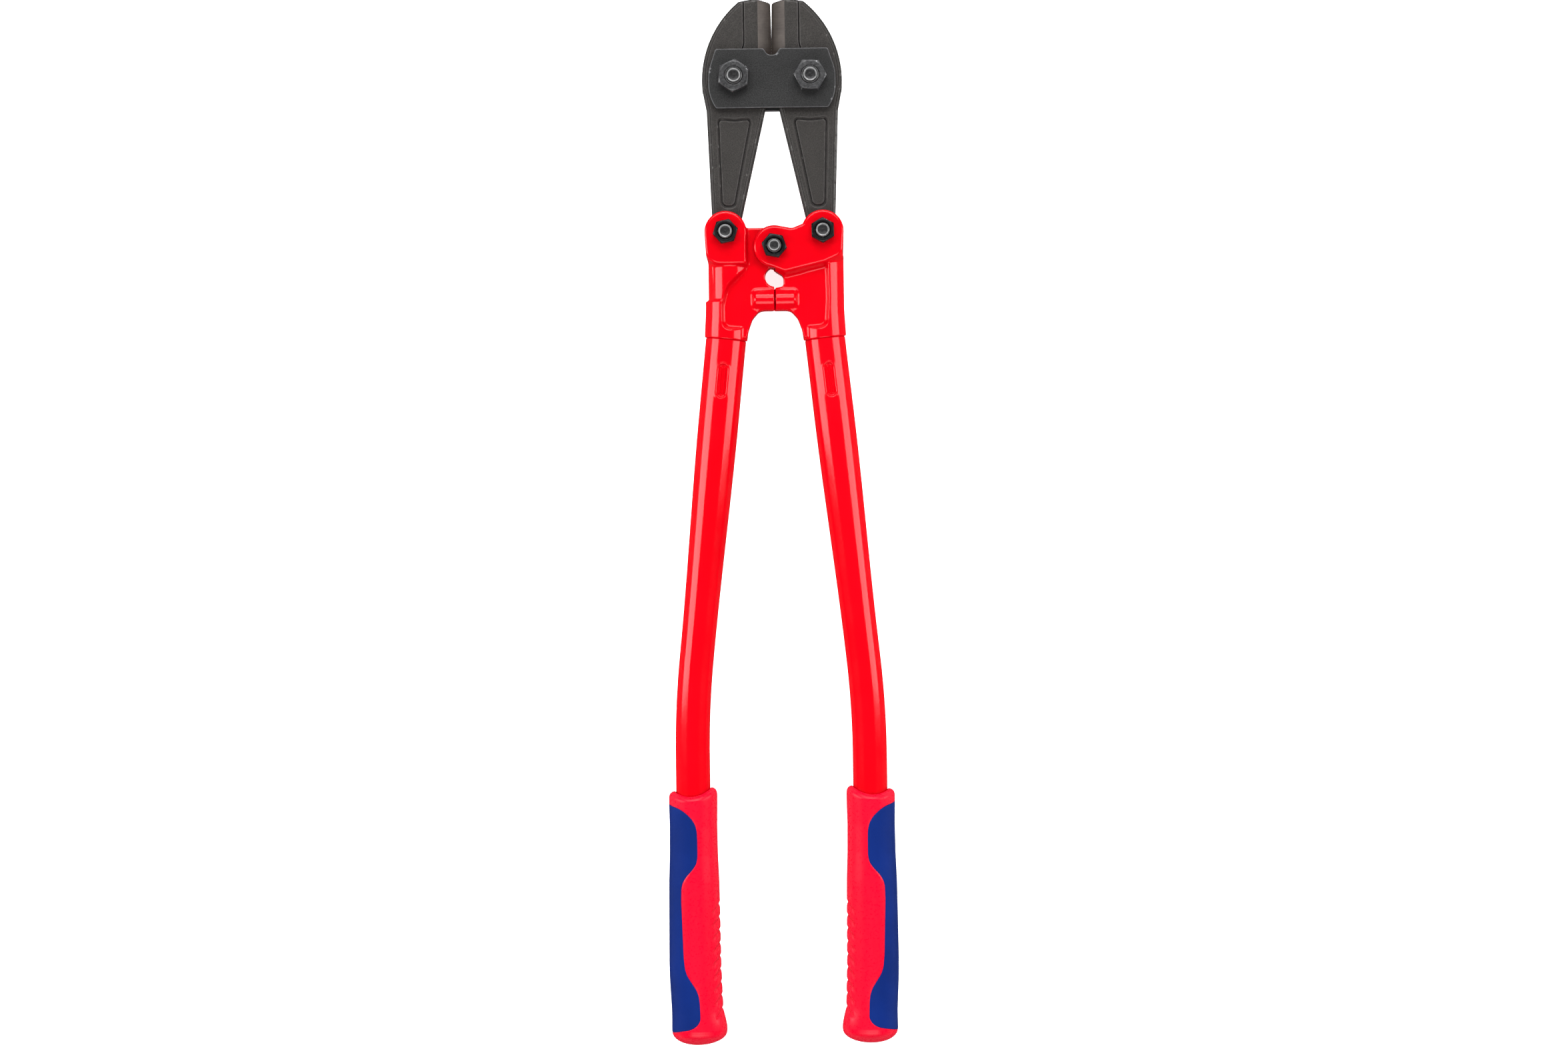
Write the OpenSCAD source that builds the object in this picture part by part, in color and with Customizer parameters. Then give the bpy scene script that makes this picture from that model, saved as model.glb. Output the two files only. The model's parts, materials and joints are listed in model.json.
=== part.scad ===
// Bolt cutters, 24 inch class: two forged jaws between link plates, compound
// toggle handles with cast heads, tapered tubes and two-component grips.
// Millimetres. The tool lies flat: +Y points to the jaws, +Z is up, z = 0 is the
// plane of the bolt heads' faces, and the origin is under the centre pivot.

/* [Linkage] */
// Distance between the two jaw bolts
jaw_pitch = 44.5; // [40:0.1:50]
// Jaw bolt line, above the centre pivot
jaw_line = 98.9; // [85:0.1:115]
// Distance between the two outer pins, closed
outer_pitch = 56.6; // [50:0.1:62]
// Rise of the outer pins above the centre pivot, closed
outer_rise = 8.6; // [6:0.1:12]

/* [Jaws] */
// Jaw thickness
jaw_t = 15; // [12:0.5:18]
// Radius of the outer rim of a jaw
rim_r = 59.8; // [50:0.1:70]
// Reach of the blade tips above the bolt line
blade_reach = 45.6; // [38:0.1:52]
// Width of the ground blade flank
flank_w = 9.5; // [6:0.1:12]
// Radius of the jaw tail's eye
tail_eye_r = 10; // [8:0.1:11]
// Depth of the recessed arm panels
panel_depth = 0.6; // [0:0.1:1.5]

/* [Link plates] */
// Thickness of one plate
plate_t = 5; // [3:0.5:8]
// Top edge of the plates above the bolt line
plate_top = 16.2; // [12:0.1:22]
// Bottom edge of the plates below the bolt line
plate_bottom = 18.5; // [12:0.1:24]

/* [Bolts] */
// Radius of the jaw bolts
jaw_bolt_r = 5; // [4:0.5:6]
// Radius of the handle bolts
pin_r = 4; // [3:0.5:5]
// Radial clearance of bolts in their bores
fit = 0.05; // [0.01:0.01:0.1]
// Clearance between faces that slide or part
gap = 0.3; // [0.3:0.05:0.6]

/* [Handle heads] */
// Half the height over the cheeks
cheek_z = 13.9; // [12:0.1:16]
// Radius of the ears at the pins
ear_r = 12.3; // [11:0.1:14]
// Radius of the socket collar
socket_r = 12.65; // [12:0.05:14]
// Radius of the stop bosses
stop_r = 5.3; // [4:0.1:7]
// Half the height over the stop bosses
stop_z = 10.8; // [9:0.1:13]

/* [Tubes] */
// Tube radius at the head
tube_r0 = 11.75; // [10:0.05:13]
// Tube radius at the grip
tube_r1 = 10; // [8:0.05:12]
// Wall thickness
tube_wall = 2; // [1:0.1:3]
// Lean of the straight part of a tube
lean = 6.07; // [3:0.01:10]
// Bend radius of the tube axis
bend_r = 550; // [200:10:900]

/* [Grips] */
// Distance between the grip axes
grip_pitch = 103.4; // [90:0.1:120]
// Upper end of the grips, below the centre pivot
grip_start = 315; // [290:1:330]
// Length of a grip
grip_l = 150.3; // [120:0.1:170]
// Depth of the soft inlay
inlay_depth = 1.6; // [1:0.1:2.5]
// Spacing of the finger ribs
rib_step = 7.6; // [5:0.1:10]

/* [Hidden] */
$fn = 72;
m10_head = 6.4;
m10_nut = 8;
m8_head = 5.3;
m8_nut = 6.5;
mid_z = cheek_z + m8_head;
jz = jaw_t / 2;
slot_z = jz + gap;
plate_z = slot_z + plate_t;
jx = jaw_pitch / 2;
px = outer_pitch / 2;
py = outer_rise;
grip_x = grip_pitch / 2;
tube_straight = 186.9;
seam = [grip_x - bend_r * (1 - cos(lean)) - tube_straight * sin(lean), -53.5];
bend_at = seam + tube_straight * [sin(lean), -cos(lean)];
bend_c = bend_at - bend_r * [cos(lean), sin(lean)];
tube_end = -445;

// One corner of an outline, rounded between its two neighbours
function corner(a, b, c, r, n) = let (
    u = (a - b) / norm(a - b),
    v = (c - b) / norm(c - b),
    t = acos(max(-1, min(1, u * v))),
    m = b + (u + v) / norm(u + v) * r / sin(t / 2),
    p = b + u * r / tan(t / 2) - m,
    q = b + v * r / tan(t / 2) - m,
    s = atan2(p[1], p[0]),
    d = atan2(q[1], q[0]) - s,
    e = d > 180 ? d - 360 : d < -180 ? d + 360 : d
  ) [for (i = [0:n]) m + r * [cos(s + e * i / n), sin(s + e * i / n)]];

// Outline from corners given as [x, y, rounding]
module outline(k, n = 6) {
  c = len(k);
  xy = [for (p = k) [p[0], p[1]]];
  polygon([for (i = [0:c - 1]) each k[i][2] > 0
    ? corner(xy[(i + c - 1) % c], xy[i], xy[(i + 1) % c], k[i][2], n)
    : [xy[i]]]);
}

// Straight slot outline with round ends, along Y
module obround(l, w) {
  for (s = [-1, 1]) translate([0, s * (l - w) / 2]) circle(w / 2);
  square([w, l - w], center = true);
}

module both_faces() {
  children();
  mirror([0, 0, 1]) children();
}

module slab(h) {
  linear_extrude(2 * h, center = true) children();
}

// ---- jaws, drawn for the right side about the middle plane ----

module jaw_outline() {
  intersection() {
    translate([-18.98, -2.12]) circle(rim_r, $fn = 180);
    outline([[0.15, 9, 0], [0.4, blade_reach - 1.9, 1.2], [9.6, blade_reach + 0.3, 18],
      [19.2, blade_reach - 1.4, 5], [70, 4.5, 0], [70, -8, 0], [20, -8, 0]]);
  }
  intersection() {
    translate([jx, 0]) circle(jx - 0.15, $fn = 120);
    translate([0, -9]) square([jx, 20]);
  }
  outline([[1.75, -8.3, 0], [21.01, -91.98, 0], [35.69, -90.59, 0], [38.4, -19.5, 22],
    [40.6, -7.5, 0], [30, 8, 0], [10, 8, 0]]);
  translate([px, py - jaw_line]) circle(tail_eye_r);
}

module blade_flank() {
  translate([0, 60, 0]) rotate([90, 0, 0]) linear_extrude(51)
    polygon([[-1, 0.3], [0.4, 0.3], [1.5, 1.4], [flank_w, jz], [flank_w, jz + 2], [-1, jz + 2]]);
}

module arm_panel() {
  translate([0, 0, jz - panel_depth]) linear_extrude(2)
    outline([[11.2, -22.8, 3.2], [32.6, -22.8, 3.2], [31.1, -76.4, 4.7], [21.8, -76.4, 4.7]]);
}

module jaw() {
  translate([0, jaw_line, mid_z]) difference() {
    slab(jz) jaw_outline();
    both_faces() {
      blade_flank();
      arm_panel();
      translate([16, 17, jz - 0.3]) cube([0.5, 40, 2]);
    }
    translate([jx, 0]) cylinder(h = 60, r = jaw_bolt_r + fit, center = true);
    translate([px, py - jaw_line]) cylinder(h = 60, r = pin_r + fit, center = true);
  }
}

// ---- link plates ----

module plate_outline() {
  difference() {
    outline([[-32.7, plate_top, 2.2], [-37, plate_top - 13, 24], [-37, 7 - plate_bottom, 24],
      [-32.7, -plate_bottom, 2.2], [32.7, -plate_bottom, 2.2], [37, 7 - plate_bottom, 24],
      [37, plate_top - 13, 24], [32.7, plate_top, 2.2]]);
    translate([0, plate_top - 0.2]) circle(3.7);
    translate([0, plate_top]) rotate(45) square(7.4, center = true);
    for (s = [-1, 1]) translate([s * jx, 0]) circle(jaw_bolt_r + fit);
  }
}

module link_plate(z) {
  translate([0, jaw_line, mid_z + z]) linear_extrude(plate_t) plate_outline();
}

// ---- hexagon bolts and nuts ----

module hexagon(af, h) {
  r = af / sqrt(3);
  intersection() {
    cylinder(h = h, r = r, $fn = 6);
    cylinder(h = h, r1 = af / 2 - 0.2 + h * 1.6, r2 = af / 2 - 0.2);
  }
}

// Head below the origin, shank above it
module bolt(r, af, head, grip, reach) {
  translate([0, 0, -head]) hexagon_up(af, head);
  cylinder(h = grip + reach - 1, r = r);
  translate([0, 0, grip + reach - 1.01]) cylinder(h = 1, r1 = r, r2 = r - 0.9);
}

// Chamfered on its lower face
module hexagon_up(af, h) {
  translate([0, 0, h]) mirror([0, 0, 1]) hexagon(af, h);
}

module nut(r, af, h) {
  difference() {
    hexagon(af, h);
    translate([0, 0, -1]) cylinder(h = h + 2, r = r + 0.02);
  }
}

module jaw_bolt(s) {
  translate([s * jx, jaw_line, mid_z - plate_z])
    bolt(jaw_bolt_r, 17, m10_head, 2 * plate_z, m10_nut + 1.9);
}

module jaw_nut(s, turn) {
  translate([s * jx, jaw_line, mid_z + plate_z]) rotate(turn) nut(jaw_bolt_r, 17, m10_nut);
}

module pin_bolt(x, y) {
  translate([x, y, mid_z - cheek_z]) bolt(pin_r, 13, m8_head, 2 * cheek_z, m8_nut + 2.2);
}

module pin_nut(x, y, turn) {
  translate([x, y, mid_z + cheek_z]) rotate(turn) nut(pin_r, 13, m8_nut);
}

// ---- handle heads, drawn for the right side about the middle plane ----

// Local -Y runs down the tube axis from the seam
module on_tube() {
  translate([seam[0], seam[1], 0]) rotate([0, 0, lean]) children();
}

module rod(from, h, r0, r1) {
  translate([0, -from, 0]) rotate([90, 0, 0]) cylinder(h = h, r1 = r0, r2 = r1);
}

module fork_cheeks() {
  translate([px, py]) circle(ear_r);
  circle(ear_r);
  outline([[2, 12.1, 0], [10.5, 10.4, 5], [17, 13, 5], [24, 20.1, 0], [40.5, 9, 0],
    [39.6, -6, 4], [30, -9.3, 0], [5, -15.6, 2.5], [-4, -11.5, 0]]);
}

module pad_cheek() {
  translate([px, py]) circle(ear_r);
  outline([[16, 9, 0], [15.4, -9.9, 1.5], [38.8, -9.9, 8], [40.6, 8.6, 0]]);
}

module tongue_web() {
  circle(11);
  difference() {
    outline([[0, 11, 0], [17, 11, 1.5], [24, 4, 0], [37, -3, 0], [36, -40, 0], [31, -52.5, 0],
      [16.6, -52.5, 0], [14.5, -44.2, 6], [9.4, -37, 5], [0.35, -36.9, 0], [0.35, -10, 0]]);
    translate([0, -17.7]) circle(5.6);
  }
}

module fork_web() {
  outline([[5.1, -12, 0], [11, 9, 0], [18.5, 9, 0], [24, 4, 0], [37, -3, 0], [36, -40, 0],
    [31, -52.5, 0], [16.6, -52.5, 0], [14.5, -44.2, 6], [9.4, -37, 5], [0.35, -36.9, 0],
    [0.35, -24.2, 0], [5.1, -23.4, 1.2]]);
}

module fork_pocket() {
  outline([[5, 0, 0], [30.2, 0, 0], [30.8, -30, 20], [29.6, -46.5, 4.5], [5, -47.8, 0]]);
}

module tongue_pocket() {
  outline([[5, -9.9, 0], [15.6, -9.9, 0], [16.6, -12.4, 2], [27.6, -23.4, 14],
    [30.4, -34, 12], [30, -46.6, 4.5], [5, -48.8, 0]]);
}

module stop_boss() {
  translate([0.35, -30.8, 0]) {
    both_faces() translate([0, 0, stop_z - stop_r]) rotate([0, 90, 0]) {
      cylinder(h = 9.5, r = stop_r);
      translate([0, 0, 9.5]) cylinder(h = 3.2, r1 = stop_r, r2 = stop_r - 1.8);
    }
    translate([0, -stop_r, stop_r - stop_z])
      cube([9.5, 2 * stop_r, 2 * (stop_z - stop_r)]);
  }
}

// Room for the jaw tail between the cheeks
module tail_slot() {
  slab(slot_z) {
    translate([px, py]) circle(tail_eye_r + 0.4);
    polygon([[px, py], [px, py - 3.2], [px + 30, py - 3.2], [px + 30, 45], [2, 45],
      [px - 10.7, py + 6.2]]);
  }
}

// Room for the other head's tongue between the cheeks
module tongue_slot() {
  slab(slot_z) {
    circle(14);
    polygon([[-20, -14], [5, -14], [11.4, 0], [11.4, 30], [-20, 30]]);
  }
}

// The children give the front view of the pocket on each face
module head_core() {
  difference() {
    on_tube() rod(-46, 46, socket_r, socket_r);
    both_faces() translate([0, 0, jz]) linear_extrude(20) children();
  }
  stop_boss();
  on_tube() rod(-2, 46, tube_r0 - tube_wall - fit, tube_r0 - tube_wall - fit);
}

module fork_head() {
  difference() {
    union() {
      slab(cheek_z) fork_cheeks();
      slab(jz) fork_web();
      head_core() fork_pocket();
    }
    tail_slot();
    tongue_slot();
    translate([px, py]) cylinder(h = 60, r = pin_r + fit, center = true);
    cylinder(h = 60, r = pin_r + fit, center = true);
  }
}

module tongue_head() {
  difference() {
    union() {
      slab(cheek_z) pad_cheek();
      slab(jz) tongue_web();
      head_core() tongue_pocket();
    }
    tail_slot();
    translate([px, py]) cylinder(h = 60, r = pin_r + fit, center = true);
    cylinder(h = 60, r = pin_r + 2.9, center = true);
  }
}

// ---- tubes ----

// The straight parts are 0.02 over the bend's radius, and run 1 into it
module tube_solid(d, over) {
  r = tube_r1 + 0.02 - d;
  on_tube() {
    rod(-over, 70 + over, tube_r0 - d, tube_r0 - d);
    rod(70, 95, tube_r0 - d, r);
    rod(165, tube_straight - 164, r, r);
  }
  translate([bend_c[0], bend_c[1], 0]) rotate_extrude(angle = lean, $fn = 180)
    translate([bend_r, 0]) circle(tube_r1 - d, $fn = 60);
  translate([bend_c[0] + bend_r, bend_c[1] + 1, 0]) rotate([90, 0, 0])
    cylinder(h = bend_c[1] + 1 - tube_end + over, r = r);
}

module crimp() {
  translate([0, -24.6, tube_r0 - 1.2]) linear_extrude(3) difference() {
    obround(19.7, 5.8);
    for (s = [-1, 1]) translate([s * 1.1, 0]) obround(15.5, 0.8);
  }
}

module tube() {
  difference() {
    tube_solid(0, 0);
    tube_solid(tube_wall, 1);
    on_tube() both_faces() crimp();
  }
}

// ---- grips, drawn for the right side about the middle plane ----

// Grip radius against distance from its upper end
grip_form = [[0, 11.9], [0.6, 13.1], [2.6, 14.15], [8, 14.15], [23, 13.85], [39, 14.05],
  [55, 14.65], [70, 14.85], [86, 15], [110, 15.25], [132, 15], [141, 15.55], [145, 15.2],
  [148.4, 13], [grip_l, 9]];

module grip_solid(d) {
  translate([grip_x, -grip_start, 0]) rotate([90, 0, 0]) rotate_extrude()
    polygon(concat([[0, 0]], [for (p = grip_form) [p[1] - d, p[0]]], [[0, grip_l]]));
}

// Front view of the soft inlay
module inlay_region() {
  linear_extrude(60, center = true) outline([[70, -325.5, 0], [57, -326.5, 8],
    [49.7, -339, 9], [49.7, -357, 9], [59, -371, 9], [58.2, -421, 8], [49.5, -436, 9],
    [49.5, -455, 4], [54, -458.3, 6], [70, -458.3, 0]]);
}

module inlay() {
  intersection() {
    difference() {
      grip_solid(0);
      grip_solid(inlay_depth);
    }
    inlay_region();
  }
}

module finger_rib(i) {
  for (s = [-1, 1]) translate([grip_x - 14.3, -382 - rib_step * i, 0])
    rotate([0, s * 42, 0]) translate([-3.4, 0, 0]) rotate([s * 14, 0, 0])
      cylinder(h = 40, r = 3.4, center = true, $fn = 36);
}

module grip() {
  difference() {
    grip_solid(0);
    inlay_cut();
    translate([grip_x, 5 - grip_start, 0]) rotate([90, 0, 0])
      cylinder(h = 5 - grip_start - tube_end + 1, r = tube_r1 + fit);
    translate([grip_x, 0.01 - grip_start, 0]) rotate([90, 0, 0])
      cylinder(h = 3.6, r1 = 11.3, r2 = tube_r1);
    for (i = [0:8]) finger_rib(i);
  }
}

module inlay_cut() {
  difference() {
    inlay_region();
    grip_solid(inlay_depth);
  }
}

// ---- sub-parts in place ----

module up() {
  translate([0, 0, mid_z]) children();
}

module flip() {
  mirror([1, 0, 0]) children();
}

module jaw_right() color([0.29, 0.28, 0.27]) jaw();
module jaw_left() color([0.29, 0.28, 0.27]) flip() jaw();
module link_plate_front() color([0.2, 0.21, 0.22]) link_plate(slot_z);
module link_plate_back() color([0.2, 0.21, 0.22]) link_plate(-plate_z);
module jaw_bolt_left() color([0.42, 0.42, 0.43]) jaw_bolt(-1);
module jaw_bolt_right() color([0.42, 0.42, 0.43]) jaw_bolt(1);
module jaw_nut_left() color([0.36, 0.36, 0.37]) jaw_nut(-1, 25);
module jaw_nut_right() color([0.36, 0.36, 0.37]) jaw_nut(1, 58);
module head_right() color([0.85, 0.03, 0.08]) up() fork_head();
module head_left() color([0.85, 0.03, 0.08]) up() flip() tongue_head();
module outer_bolt_left() color([0.2, 0.2, 0.21]) pin_bolt(-px, py);
module outer_bolt_right() color([0.2, 0.2, 0.21]) pin_bolt(px, py);
module centre_bolt() color([0.2, 0.2, 0.21]) pin_bolt(0, 0);
module outer_nut_left() color([0.13, 0.13, 0.14]) pin_nut(-px, py, 12);
module outer_nut_right() color([0.13, 0.13, 0.14]) pin_nut(px, py, 31);
module centre_nut() color([0.13, 0.13, 0.14]) pin_nut(0, 0, 49);
module tube_right() color([0.85, 0.03, 0.08]) up() tube();
module tube_left() color([0.85, 0.03, 0.08]) up() flip() tube();
module grip_right() color([0.86, 0.02, 0.17]) up() grip();
module grip_left() color([0.86, 0.02, 0.17]) up() flip() grip();
module inlay_right() color([0.02, 0.15, 0.5]) up() inlay();
module inlay_left() color([0.02, 0.15, 0.5]) up() flip() inlay();

jaw_left();
jaw_right();
link_plate_front();
link_plate_back();
jaw_bolt_left();
jaw_bolt_right();
jaw_nut_left();
jaw_nut_right();
head_left();
head_right();
outer_bolt_left();
outer_bolt_right();
centre_bolt();
outer_nut_left();
outer_nut_right();
centre_nut();
tube_left();
tube_right();
grip_left();
grip_right();
inlay_left();
inlay_right();
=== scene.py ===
"""Looks of the bolt cutters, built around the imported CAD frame.

Shapes are written in millimetres: x to the right and y towards the jaws as in the
frame, and z from the tool's middle plane. put() turns them into metres. Jaws, heads,
tubes and grips are drawn on the right side, and the left ones are mirrored.
"""
import json
import math

import bpy
import numpy as np
from mathutils import Matrix, Vector


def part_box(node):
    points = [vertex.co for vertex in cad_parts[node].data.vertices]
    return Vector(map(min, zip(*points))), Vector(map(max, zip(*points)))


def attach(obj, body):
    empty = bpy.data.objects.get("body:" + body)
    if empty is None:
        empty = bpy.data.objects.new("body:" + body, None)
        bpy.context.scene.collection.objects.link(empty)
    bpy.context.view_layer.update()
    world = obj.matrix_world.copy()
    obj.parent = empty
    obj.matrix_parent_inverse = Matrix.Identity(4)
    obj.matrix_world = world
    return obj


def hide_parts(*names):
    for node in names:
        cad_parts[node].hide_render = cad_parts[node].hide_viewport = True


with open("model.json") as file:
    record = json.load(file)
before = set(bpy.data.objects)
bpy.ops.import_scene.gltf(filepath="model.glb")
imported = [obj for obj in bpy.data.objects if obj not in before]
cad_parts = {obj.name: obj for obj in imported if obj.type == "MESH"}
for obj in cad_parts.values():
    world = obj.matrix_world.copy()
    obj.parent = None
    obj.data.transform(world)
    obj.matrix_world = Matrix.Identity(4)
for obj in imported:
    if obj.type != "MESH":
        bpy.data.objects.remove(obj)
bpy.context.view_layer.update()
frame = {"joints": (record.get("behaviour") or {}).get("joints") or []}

pivot = {j["name"]: [1000 * v for v in j["pos_m"]] for j in frame["joints"]}
JX, JY, MID = pivot["right_jaw_pivot"]
PX, PY, _ = pivot["right_handle_pivot"]


def size_of(node):
    """A CAD node's box in millimetres: lowest and highest corner."""
    low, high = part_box(node)
    return 1000 * np.array(low), 1000 * np.array(high)


JAW_LOW, JAW_HIGH = size_of("jaw_right")
HEAD_HIGH = size_of("head_right")[1]
PLATE_LOW, PLATE_HIGH = size_of("link_plate_front")
GRIP_LOW, GRIP_HIGH = size_of("grip_right")
TUBE_LOW = size_of("tube_right")[0]
JZ = (JAW_HIGH[2] - JAW_LOW[2]) / 2  # half the jaws' thickness
CHEEK = HEAD_HIGH[2] - MID  # half the thickness over the forks
GRIP_X = (GRIP_LOW[0] + GRIP_HIGH[0]) / 2
TUBE_R = 11.75
LEAN = math.radians(6.07)
SEAM = np.array([TUBE_LOW[0] + TUBE_R * math.cos(LEAN), -53.5])  # where tube and head meet
SLOT = JZ + 0.3  # half the width of the forks' gaps
JAW_BOLT_R, PIN_R = 5.0, 4.0
PIN_HOLE = PIN_R + 0.05


# ---- shapes as distance fields ----


def rounded(corners, steps=8):
    """Outline from corners [x, y, rounding]."""
    c = np.array(corners, float)
    out = []
    for i, (x, y, r) in enumerate(c):
        b = np.array([x, y])
        if r == 0:
            out.append(b)
            continue
        u, v = c[i - 1, :2] - b, c[(i + 1) % len(c), :2] - b
        u, v = u / np.hypot(*u), v / np.hypot(*v)
        half = math.acos(np.clip(u @ v, -1, 1)) / 2
        m = b + (u + v) / np.hypot(*(u + v)) * r / math.sin(half)
        p, q = b + u * r / math.tan(half) - m, b + v * r / math.tan(half) - m
        start = math.atan2(p[1], p[0])
        turn = (math.atan2(q[1], q[0]) - start + math.pi) % math.tau - math.pi
        for t in np.linspace(0, 1, steps + 1):
            a = start + turn * t
            out.append(m + r * np.array([math.cos(a), math.sin(a)]))
    return np.array(out)


def flat(points, x, y):
    """Signed distance in the plane to a closed outline, negative inside."""
    gx, gy = np.broadcast_arrays(x[..., 0], y[..., 0])
    best = np.full(gx.shape, 1e9)
    inside = np.zeros(gx.shape, bool)
    for (ax, ay), (bx, by) in zip(points, np.roll(points, -1, axis=0)):
        ex, ey, wx, wy = bx - ax, by - ay, gx - ax, gy - ay
        t = np.clip((wx * ex + wy * ey) / (ex * ex + ey * ey), 0, 1)
        best = np.minimum(best, (wx - ex * t) ** 2 + (wy - ey * t) ** 2)
        if ey:
            spans = (gy >= min(ay, by)) & (gy < max(ay, by))
            inside ^= spans & (wx < wy * ex / ey)
    return (np.where(inside, -1, 1) * np.sqrt(best))[..., None]


def disc(cx, cy, r, x, y):
    """Distance to a circle."""
    return np.hypot(x - cx, y - cy) - r


def both(a, b, r=0.0):
    """Where a and b overlap, with the edge rounded to r."""
    if r == 0:
        return np.maximum(a, b)
    edge = np.hypot(np.maximum(a + r, 0), np.maximum(b + r, 0))
    return np.minimum(np.maximum(a, b), -r) + edge


def either(a, b, r=0.0):
    """a and b joined, with a fillet of radius r."""
    return -both(-a, -b, r)


def cut(a, b, r=0.0):
    """a without b, with the edge rounded to r."""
    return both(a, -b, r)


def bevelled(a, b, r):
    """Where a and b overlap, with the edge cut at 45 degrees by r."""
    return both(both(a, b, 0.15), (a + b + r) * math.sqrt(0.5), 0.25)


def smooth(a, b, v):
    """0 before a, 1 past b, and a soft step between them."""
    t = np.clip((np.asarray(v, float) - a) / (b - a), 0, 1)
    return t * t * (3 - 2 * t)


def sample(f, p):
    """The field on its grid, read between the points, at index coordinates p."""
    i = np.clip(p.astype(int), 0, np.array(f.shape) - 2)
    t = p - i
    total = 0
    for k in range(8):
        o = np.array([k >> 2 & 1, k >> 1 & 1, k & 1])
        w = np.prod(np.where(o, t, 1 - t), axis=1)
        j = i + o
        total = total + w * f[j[:, 0], j[:, 1], j[:, 2]]
    return total


def skin(field, low, high, step):
    """Quads over the zero level of field(x, y, z) in a box: points, faces and normals."""
    low, high, step = (np.broadcast_to(np.array(v, float), 3) for v in (low, high, step))
    axes = [np.arange(a, b + s, s) for a, b, s in zip(low, high, step)]
    f = field(axes[0][:, None, None], axes[1][None, :, None], axes[2][None, None, :])
    size = np.array(f.shape)
    where, cells, flips = [], [], []
    for a in range(3):
        b, c = (a + 1) % 3, (a + 2) % 3
        first = np.take(f, range(size[a] - 1), a)
        last = np.take(f, range(1, size[a]), a)
        i = np.argwhere((first < 0) != (last < 0))
        i = i[(i[:, b] > 0) & (i[:, c] > 0) & (i[:, b] < size[b] - 1) & (i[:, c] < size[c] - 1)]
        fa = first[tuple(i.T)]
        fb = last[tuple(i.T)]
        spot = i.astype(float)
        spot[:, a] += fa / (fa - fb)
        four = []
        for ob, oc in ((-1, -1), (0, -1), (0, 0), (-1, 0)):
            j = i.copy()
            j[:, b] += ob
            j[:, c] += oc
            four.append(np.ravel_multi_index(tuple(j.T), f.shape))
        where.append(spot)
        cells.append(np.stack(four, 1))
        flips.append(fa > 0)
    where, cells, flips = np.concatenate(where), np.concatenate(cells), np.concatenate(flips)
    ids, quads = np.unique(cells, return_inverse=True)
    quads = quads.reshape(-1, 4)
    count = np.bincount(quads.ravel(), minlength=len(ids))
    p = np.stack(
        [np.bincount(quads.ravel(), np.repeat(where[:, k], 4), len(ids)) / count for k in range(3)], 1
    )
    eye = np.eye(3)
    for _ in range(3):
        g = np.stack([sample(f, p + 0.5 * e) - sample(f, p - 0.5 * e) for e in eye], 1)
        move = -sample(f, p)[:, None] * g / np.maximum((g * g).sum(1, keepdims=True), 1e-9)
        p += np.clip(move, -0.4, 0.4)
    n = np.stack([sample(f, p + 0.7 * e) - sample(f, p - 0.7 * e) for e in eye], 1) / step
    n /= np.maximum(np.linalg.norm(n, axis=1, keepdims=True), 1e-9)
    quads[flips] = quads[flips][:, ::-1]
    return p * step + low, quads, n


# ---- meshes ----


def put(name, points, faces, body, nodes, paint, normals=None, left=False, marks=None):
    """A piece from points in millimetres, riding on a body and standing for CAD nodes."""
    v = np.array(points, float)
    n = None if normals is None else np.array(normals, float)
    if left:
        v[:, 0] *= -1
        faces = [tuple(f)[::-1] for f in faces]
        if n is not None:
            n[:, 0] *= -1
    v[:, 2] += MID
    mesh = bpy.data.meshes.new(name)
    mesh.from_pydata((v / 1000).tolist(), [], [tuple(int(i) for i in f) for f in faces])
    mesh.polygons.foreach_set("use_smooth", [True] * len(mesh.polygons))
    for m in paint if isinstance(paint, (list, tuple)) else [paint]:
        mesh.materials.append(m)
    if marks is not None:
        mesh.polygons.foreach_set("material_index", np.asarray(marks, int))
    if n is not None:
        mesh.normals_split_custom_set_from_vertices(n.tolist())
    else:
        mesh.set_sharp_from_angle(angle=math.radians(35))
    mesh.update()
    piece = bpy.data.objects.new(name, mesh)
    bpy.context.scene.collection.objects.link(piece)
    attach(piece, body)
    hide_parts(*nodes)
    return piece


def grid_faces(rows, cols, wrap):
    """Quads between rows of points, closed round each row if wrap is true."""
    faces = []
    for i in range(rows - 1):
        for j in range(cols if wrap else cols - 1):
            a, b = i * cols + j, i * cols + (j + 1) % cols
            faces.append((a, b, b + cols, a + cols))
    return faces


# ---- materials ----


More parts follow.
